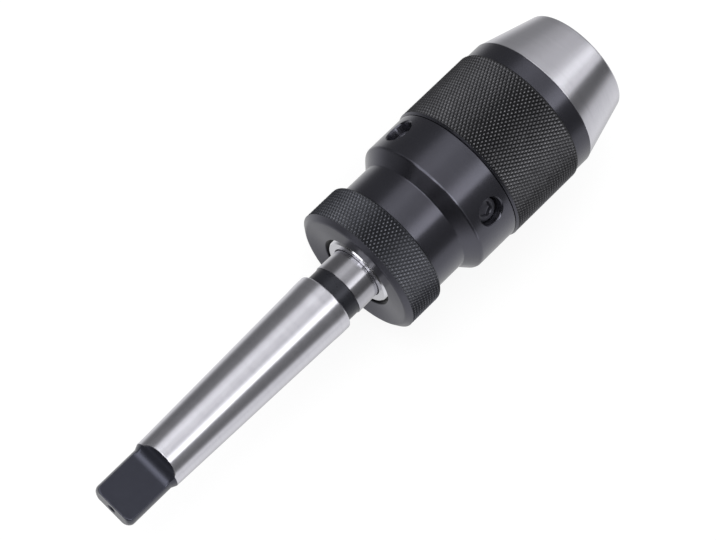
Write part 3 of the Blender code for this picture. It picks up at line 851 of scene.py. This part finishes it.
class CHUCK_OT_rear_body(bpy.types.Operator):
    """Black rear body with its knurled grip, neck, shoulder and the lock screws' holes"""

    bl_idname = "chuck.rear_body"
    bl_label = "Rear body"

    def execute(self, context):
        finish, sizes = context.scene.chuck_finish, context.scene.chuck_sizes
        black = turned_metal("black oxide", finish.black, 0.21, lines=0.25, metallic=0.92)
        core = GRIP_R - 0.9
        middle, front = GRIP_END - 2, HOUSING_END + 0.16
        corners = [
            (middle, HUB_R + PLAY, 0),
            (middle, core - 0.5, 0),
            (GRIP_END - 1, core - 0.5, 0),
            (GRIP_END, NECK_R, 0),
            (NECK_END, NECK_R, 0.35),
            (HOUSING_START, HOUSING_R, 1.2),
            (front, HOUSING_R, 0.35),
            (front, HUB_R + PLAY, 0.2),
        ]
        obj = turned("housing_shell", corners, black, 288)
        cut(obj, [lock_hole(i + 1, angle) for i, angle in enumerate(LOCK_ANGLES)])
        place(obj, "drive_body", "black_body", "rear_body")
        corners = [
            (REAR + REAR_DISH + 0.3, OPENING_R, 0.1),
            (REAR + REAR_DISH, OPENING_R + 0.3, 0.1),
            (REAR, GRIP_R - 1.7, 1.4),
            (GRIP_START, GRIP_R, 0),
            (GRIP_START, core, 0),
            (GRIP_END, core, 0),
            (GRIP_END, core - 0.45, 0),
            (middle - 0.02, core - 0.45, 0),
            (middle - 0.02, HUB_R + PLAY, 0),
            (HUB_BODY - PLAY, HUB_R + PLAY, 0.2),
            (HUB_BODY - PLAY, HUB_REAR_R + PLAY, 0.1),
            (REAR + OPENING_DEEP, HUB_REAR_R + PLAY, 0.1),
            (REAR + OPENING_DEEP, OPENING_R, 0.3),
        ]
        # painted shade darkens the opening's wall and floor round the hub ring
        shaded = turned_metal(
            "black rear face", finish.black, 0.32, 0.25, extra=painted_shade_inside(OPENING_R), metallic=0.9
        )
        grip = turned("grip_shell", corners, shaded, 288)
        place(grip, "drive_body", "black_body")
        # knurl colour with wear and painted highlight on the crests, painted shade in the grooves
        wear_and_light = knurl_wear_and_painted_light(sizes, GRIP_R, finish, (0.84, 0.865, 0.97))
        rough = turned_metal("grip knurl", finish.knurl_crest, 0.34, 0.4, 0.0, extra=wear_and_light)
        band = knurl_band(
            "grip_knurl",
            GRIP_START,
            GRIP_END,
            GRIP_R,
            core + 0.02,
            (0.02, 0.5, 0.5),
            sizes.grip_starts,
            sizes,
            rough,
        )
        place(band, "drive_body", "black_body")
        # kept out of the short taper's reflections, as a soft box from the side would do
        grip.visible_glossy = band.visible_glossy = False
        return {"FINISHED"}


class CHUCK_OT_lock_screws(bpy.types.Operator):
    """Set screws with hexagon sockets in the housing"""

    bl_idname = "chuck.lock_screws"
    bl_label = "Lock screws"

    def execute(self, context):
        finish = context.scene.chuck_finish
        black = turned_metal(
            "black set screw", grey(finish.black, 0.95)[:3], 0.40, 0.3, 0.0, metallic=0.6
        )
        for i, angle in enumerate(LOCK_ANGLES):
            obj = surface(f"set_screw_{i + 1}", lock_screw_grid(angle), black)
            place(obj, "drive_body", "black_screw", f"lock_screw_{i + 1}")
        return {"FINISHED"}


class CHUCK_OT_sleeve(bpy.types.Operator):
    """Knurled sleeve with its smooth front ring"""

    bl_idname = "chuck.sleeve"
    bl_label = "Sleeve"

    def execute(self, context):
        finish, sizes = context.scene.chuck_finish, context.scene.chuck_sizes
        black = turned_metal(
            "black sleeve", grey(finish.black, 0.87)[:3], 0.23, lines=0.25, metallic=0.9
        )
        core = RING_R - 0.5
        rear, start = SLEEVE_START - 0.24, SLEEVE_START + 0.31
        end, front = KNURL_END + SLEEVE_EDGE, NOSE_START - 0.05
        corners = [
            (rear, HUB_R + PLAY, 0.2),
            (rear, RING_R, 0.3),
            (start, SLEEVE_R, 0),
            (start, core, 0),
            (end, core, 0),
            (end, RING_R, 0),
            (front, RING_R, 0.12),
            (front, FRONT_BORE_R, 0.1),
            (GUIDE_START - PLAY, FRONT_BORE_R, 0.1),
            (GUIDE_START - PLAY, BORE_R, 0.1),
            (LIP, BORE_R, 0.1),
            (LIP, HUB_R + PLAY, 0.2),
        ]
        obj = turned("sleeve_shell", corners, black, 240)
        place(obj, "turning_sleeve", "black_knurl", "knurled_sleeve")
        # knurl colour with wear and painted highlight on the crests, painted shade in the grooves
        wear_and_light = knurl_wear_and_painted_light(sizes, SLEEVE_R, finish, (0.96, 0.96, 1.00))
        rough = turned_metal("sleeve knurl", finish.knurl_crest, 0.34, 0.4, 0.0, extra=wear_and_light)
        band = knurl_band(
            "sleeve_knurl",
            start,
            end,
            SLEEVE_R,
            core + 0.02,
            (0.02, SLEEVE_R - RING_R, SLEEVE_EDGE),
            sizes.sleeve_starts,
            sizes,
            rough,
        )
        place(band, "turning_sleeve", "black_knurl")
        return {"FINISHED"}


class CHUCK_OT_nose(bpy.types.Operator):
    """Ground nose with the cone that wedges the jaws"""

    bl_idname = "chuck.nose"
    bl_label = "Nose"

    def execute(self, context):
        finish = context.scene.chuck_finish
        steel = turned_metal("ground nose", finish.steel, 0.21, lines=1.2)
        spigot = FRONT_BORE_R - PLAY
        corners = [
            (NOSE_REAR, nose_bore_r(NOSE_REAR), 0.15),
            (NOSE_REAR, spigot, 0.3),
            (NOSE_START, spigot, 0.1),
            (NOSE_START, nose_r(NOSE_START), 0.12),
            (NOSE_END, nose_r(NOSE_END), 0.75),
            (NOSE_END, nose_bore_r(NOSE_END), 0.45),
        ]
        obj = turned("nose", corners, steel, 240)
        place(obj, "turning_sleeve", "nose_steel", "nose_cone")
        return {"FINISHED"}


class CHUCK_OT_jaw_drive(bpy.types.Operator):
    """Jaws, their guide and the draw screw with its left-hand thread"""

    bl_idname = "chuck.jaw_drive"
    bl_label = "Jaw drive"

    def execute(self, context):
        finish, sizes = context.scene.chuck_finish, context.scene.chuck_sizes
        hard = turned_metal("ground jaws", finish.hard, 0.28, lines=0.8, along=0.0)
        for i in range(3):
            obj = softened(f"gripping_jaw_{i + 1}", f"jaw_{i + 1}", sizes.broken_edge, hard)
            place(obj, f"jaw_body_{i + 1}", "jaw_steel", f"jaw_{i + 1}")
        dark = turned_metal("blued guide", finish.black, 0.36, lines=0.8, along=0.0)
        guide = softened("jaw_fingers", "jaw_guide", sizes.broken_edge, dark)
        place(guide, "turning_sleeve", "guide_steel", "jaw_guide")
        dimmer = turned_metal("drawn screw", finish.screw, 0.30, lines=0.8, along=0.0)
        screw = surface("threaded_screw", draw_screw_grid(sizes), dimmer, True)
        cut(screw, slot_cutters())
        place(screw, "draw_screw_body", "screw_steel", "draw_screw")
        return {"FINISHED"}


class CHUCK_OT_bearing(bpy.types.Operator):
    """Thrust bearing: two races, the cage and its balls"""

    bl_idname = "chuck.bearing"
    bl_label = "Thrust bearing"

    def execute(self, context):
        finish = context.scene.chuck_finish
        hard = turned_metal("ground races", finish.hard, 0.22)
        brass = turned_metal("turned brass", finish.brass, 0.32, along=0.0)
        for name, node, body, slot, made in (
            ("rear_ring", "rear_race", "turning_sleeve", "race_steel", hard),
            ("front_ring", "front_race", "drive_body", "race_steel", hard),
            ("brass_cage", "ball_cage", "bearing", "cage_brass", brass),
        ):
            place(softened(name, node, 0.08, made), body, slot, node)
        bright = turned_metal("polished balls", finish.balls, 0.09, 0.2, 0.0, 0.02)
        for i in range(BALL_COUNT):
            node = f"ball_{i + 1:02d}"
            place(surface(f"steel_{node}", ball_grid(node), bright), "bearing", "ball_steel", node)
        return {"FINISHED"}


CENTRE = np.array((17.36, 0.194, 0.016)) * MM  # where the camera looks, just beside the axis
AWAY = 0.7436  # metres
TILT = math.radians(17.69)
ROLL_UP = np.array((0, -0.0819, 0.9966))
ROLL_SIDE = np.array((0, -0.9966, -0.0819))
ALONG_PICTURE = (0.7195, 0.6945)  # the axis in the picture, to the right and up
FOCAL, PICTURE_WIDE = 2791.0, 716.0  # pixels


def camera_place():
    """Camera axes from the chuck's lean in the picture.

    The axis runs along the picture's direction (0.72 right, 0.69 up) and leans TILT away from
    the picture's plane, nose end farther from the lens.
    """
    axis = np.array((1.0, 0, 0))
    forward = math.sin(TILT) * axis - math.cos(TILT) * ROLL_UP
    drawn = math.cos(TILT) * axis + math.sin(TILT) * ROLL_UP
    c, s = ALONG_PICTURE
    right = c * drawn + s * ROLL_SIDE
    up = s * drawn - c * ROLL_SIDE
    return CENTRE - forward * AWAY, np.column_stack((right, up, -forward))


# Light that the metal mirrors, by angle round the chuck from the camera's side; minus is +Y
ROUND_LEVELS = (
    (-180, 0.78), (-148, 0.87), (-140, 0.83), (-132, 0.64), (-124, 0.38), (-116, 0.23),
    (-96, 0.18), (-80, 0.17), (-70, 0.19), (-63, 0.28), (-57, 0.52), (-50, 0.77),
    (-42, 0.85), (-35, 0.90), (-29, 0.84), (-22, 0.68), (-13, 0.58), (-5, 0.52),
    (1, 0.60), (7, 0.97), (14, 1.55), (24.5, 2.02), (28.5, 1.45), (32.5, 0.33), (44, 0.20),
    (64, 0.14), (76, 0.20), (83, 0.54), (90, 0.80), (115, 1.00), (132, 0.98), (156, 0.66),
)  # fmt: skip
# the same, far out beyond the nose
NOSE_LEVELS = (
    (-180, 0.74), (-168, 0.80), (-158, 0.64), (-146, 0.45), (-134, 0.38), (-122, 0.35),
    (-108, 0.355), (-96, 0.375), (-82, 0.53), (-64, 0.615), (-48, 0.80), (-30, 0.89),
    (-20, 0.98), (-8, 1.28), (1, 1.73), (9, 1.84), (15, 1.67), (22, 1.25), (33, 1.18),
    (36.5, 0.94), (40, 0.32), (50, 0.18), (66, 0.135), (75, 0.185), (81, 0.45), (87, 0.75),
    (100, 0.81), (120, 0.92), (140, 0.97), (156, 0.78), (180, 0.70),
)  # fmt: skip
# and by the mirrored direction's share along the chuck, for the half above it
ALONG_LEVELS = (
    (-1.0, 0.07), (-0.45, 0.08), (-0.32, 0.16), (-0.25, 0.90), (-0.19, 3.40), (-0.04, 3.40),
    (0.05, 1.20), (0.13, 1.0), (0.78, 1.0), (0.83, 0.62), (0.88, 0.40), (1.0, 0.22),
)  # fmt: skip


def studio_world():
    """White to the camera, even grey to matt surfaces, and the light's shapes to metal.

    For metal the level is the product of two curves: one of the direction's angle round the
    chuck, atan2(side, up), and one of its share along the chuck, which fades out below. Two
    lit patches behind the chuck are added, one for the hub's edge and one for the tang.
    """
    world = bpy.data.worlds.new("studio")
    world.use_nodes = True
    nodes = Nodes(world.node_tree)
    world.node_tree.nodes.clear()
    top = 3.4  # highest level that a curve can reach

    def curve(place, levels, low, high):
        stops = [((where - low) / (high - low), level / top) for where, level in levels]
        return nodes.math("MULTIPLY", nodes.ramp(place, stops), top)

    def patch(level, shares, middle, edges):
        """A patch of light between four shares along the chuck, about a turn round it."""
        lit = nodes.math("MULTIPLY", nodes.span(share, *shares[:2], 0, 1), level)
        lit = nodes.math("MULTIPLY", lit, nodes.span(share, *shares[2:], 1, 0))
        off = nodes.math("ABSOLUTE", nodes.math("ADD", turn, -middle))
        return nodes.math("MULTIPLY", lit, nodes.span(off, *edges, 1, 0))

    way = nodes.add("TexCoord").outputs["Generated"]
    up, side = nodes.dot(way, tuple(ROLL_UP)), nodes.dot(way, tuple(ROLL_SIDE))
    turn = nodes.math("ARCTAN2", side, up)
    turn = nodes.math("MULTIPLY_ADD", turn, 0.5 / math.pi, 0.5)
    share = nodes.dot(way, (1.0, 0.0, 0.0))
    beyond = nodes.span(share, 0.42, 0.62, 0, 1)
    near = curve(turn, ROUND_LEVELS, -180, 180)
    near = nodes.math("MULTIPLY", near, nodes.math("SUBTRACT", 1.0, beyond))
    around = nodes.math("MULTIPLY_ADD", curve(turn, NOSE_LEVELS, -180, 180), beyond, near)
    length_wise = curve(nodes.math("MULTIPLY_ADD", share, 0.5, 0.5), ALONG_LEVELS, -1, 1)
    below = nodes.span(up, 0.12, -0.2, 0, 1)
    keep = nodes.math("SUBTRACT", 1.0, below)
    length_wise = nodes.math("MULTIPLY_ADD", length_wise, keep, below)
    glossy = nodes.math("MULTIPLY", around, length_wise)
    for spot in (
        patch(2.5, (-0.78, -0.70, -0.44, -0.34), 0.399, (0.056, 0.065)),
        patch(3.0, (-0.60, -0.46, -0.24, -0.18), 0.472, (0.022, 0.036)),
    ):
        glossy = nodes.math("ADD", glossy, spot)
    path = nodes.add("LightPath")
    level = nodes.math("MULTIPLY", glossy, path.outputs["Is Glossy Ray"])
    others = nodes.math("SUBTRACT", 1.0, path.outputs["Is Glossy Ray"])
    level = nodes.math("ADD", level, others)
    light = nodes.add("Background", {"Color": (1, 1, 1, 1), "Strength": level})
    output = nodes.add("OutputWorld")
    world.node_tree.links.new(light.outputs[0], output.inputs[0])
    bpy.context.scene.world = world


def floor_finish():
    """White card that fills up to white for the camera, so that only a soft shadow is left."""
    made = bpy.data.materials.new("white card")
    made.use_nodes = True
    nodes = Nodes(made.node_tree)
    shader = made.node_tree.nodes["Principled BSDF"]
    seen = nodes.add("LightPath").outputs["Is Camera Ray"]
    place = nodes.add("TexCoord").outputs["Object"]
    grain = nodes.span(nodes.noise(place, 900.0, 2.0), 0.3, 0.7, 0.0, 0.02)
    plain = nodes.add(
        "CombineColor", {0: nodes.math("SUBTRACT", 0.8, grain), 1: 0.8, 2: 0.8}
    )
    lit = nodes.blend(seen, plain.outputs[0], (0.16, 0.16, 0.16, 1))
    tree = made.node_tree
    tree.links.new(lit, shader.inputs["Base Color"])
    tree.links.new(nodes.math("MULTIPLY", seen, 0.86), shader.inputs["Emission Strength"])
    shader.inputs["Emission Color"].default_value = (1, 1, 1, 1)
    shader.inputs["Roughness"].default_value = 1.0
    shader.inputs["Specular IOR Level"].default_value = 0.0
    return made


class CHUCK_OT_stage(bpy.types.Operator):
    """White card floor, soft light and the camera at the picture's angle"""

    bl_idname = "chuck.stage"
    bl_label = "Stage"

    def execute(self, context):
        side = 3.0
        corners = np.array(((-side, -side), (side, -side), (side, side), (-side, side)))
        height = -SLEEVE_R * MM - 0.0002
        points = np.column_stack((corners, np.full(4, height)))
        mesh = bpy.data.meshes.new("floor")
        mesh.from_pydata(points.tolist(), [], [(0, 1, 2, 3)])
        mesh.materials.append(floor_finish())
        floor = bpy.data.objects.new("floor", mesh)
        context.scene.collection.objects.link(floor)
        floor.visible_glossy = False
        studio_world()
        lamp = bpy.data.lights.new("soft lamp", "AREA")
        lamp.shape = "DISK"
        lamp.size = 0.8
        lamp.energy = 4.0
        light = bpy.data.objects.new("soft lamp", lamp)
        above = Vector((-0.15, 0.45, 1.0))
        facing = above.to_track_quat("Z", "Y").to_matrix().to_4x4()
        light.matrix_world = Matrix.Translation(above) @ facing
        light.visible_glossy = False
        context.scene.collection.objects.link(light)
        lens = bpy.data.cameras.new("camera")
        lens.sensor_width = 36.0
        lens.lens = FOCAL / PICTURE_WIDE * lens.sensor_width
        lens.clip_start, lens.clip_end = 0.01, 20.0
        camera = bpy.data.objects.new("camera", lens)
        spot, axes = camera_place()
        camera.matrix_world = Matrix.Translation(Vector(spot)) @ Matrix(axes).to_4x4()
        context.scene.collection.objects.link(camera)
        context.scene.camera = camera
        context.scene.view_settings.view_transform = "Standard"
        return {"FINISHED"}


OPERATORS = (
    CHUCK_OT_arbor,
    CHUCK_OT_hub,
    CHUCK_OT_rear_body,
    CHUCK_OT_lock_screws,
    CHUCK_OT_sleeve,
    CHUCK_OT_nose,
    CHUCK_OT_jaw_drive,
    CHUCK_OT_bearing,
    CHUCK_OT_stage,
)


class CHUCK_PT_sidebar(bpy.types.Panel):
    """Lists the steps that build the chuck, with its sizes and finishes"""

    bl_label = "Drill Chuck"
    bl_idname = "CHUCK_PT_sidebar"
    bl_space_type = "VIEW_3D"
    bl_region_type = "UI"
    bl_category = "Chuck"

    def draw(self, context):
        for step in OPERATORS:
            self.layout.operator(step.bl_idname)
        for group in (context.scene.chuck_sizes, context.scene.chuck_finish):
            for key in group.bl_rna.properties.keys():
                if key not in ("name", "rna_type"):
                    self.layout.prop(group, key)


CLASSES = (ChuckSizes, ChuckFinish, *OPERATORS, CHUCK_PT_sidebar)


def register():
    for made in CLASSES:
        bpy.utils.register_class(made)
    bpy.types.Scene.chuck_sizes = bpy.props.PointerProperty(type=ChuckSizes)
    bpy.types.Scene.chuck_finish = bpy.props.PointerProperty(type=ChuckFinish)


def unregister():
    del bpy.types.Scene.chuck_sizes
    del bpy.types.Scene.chuck_finish
    for made in reversed(CLASSES):
        bpy.utils.unregister_class(made)


def main():
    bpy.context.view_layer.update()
    register()
    for step in (
        bpy.ops.chuck.arbor,
        bpy.ops.chuck.hub,
        bpy.ops.chuck.rear_body,
        bpy.ops.chuck.lock_screws,
        bpy.ops.chuck.sleeve,
        bpy.ops.chuck.nose,
        bpy.ops.chuck.jaw_drive,
        bpy.ops.chuck.bearing,
        bpy.ops.chuck.stage,
    ):
        step()
    bpy.context.view_layer.update()


if __name__ == "__main__":
    main()
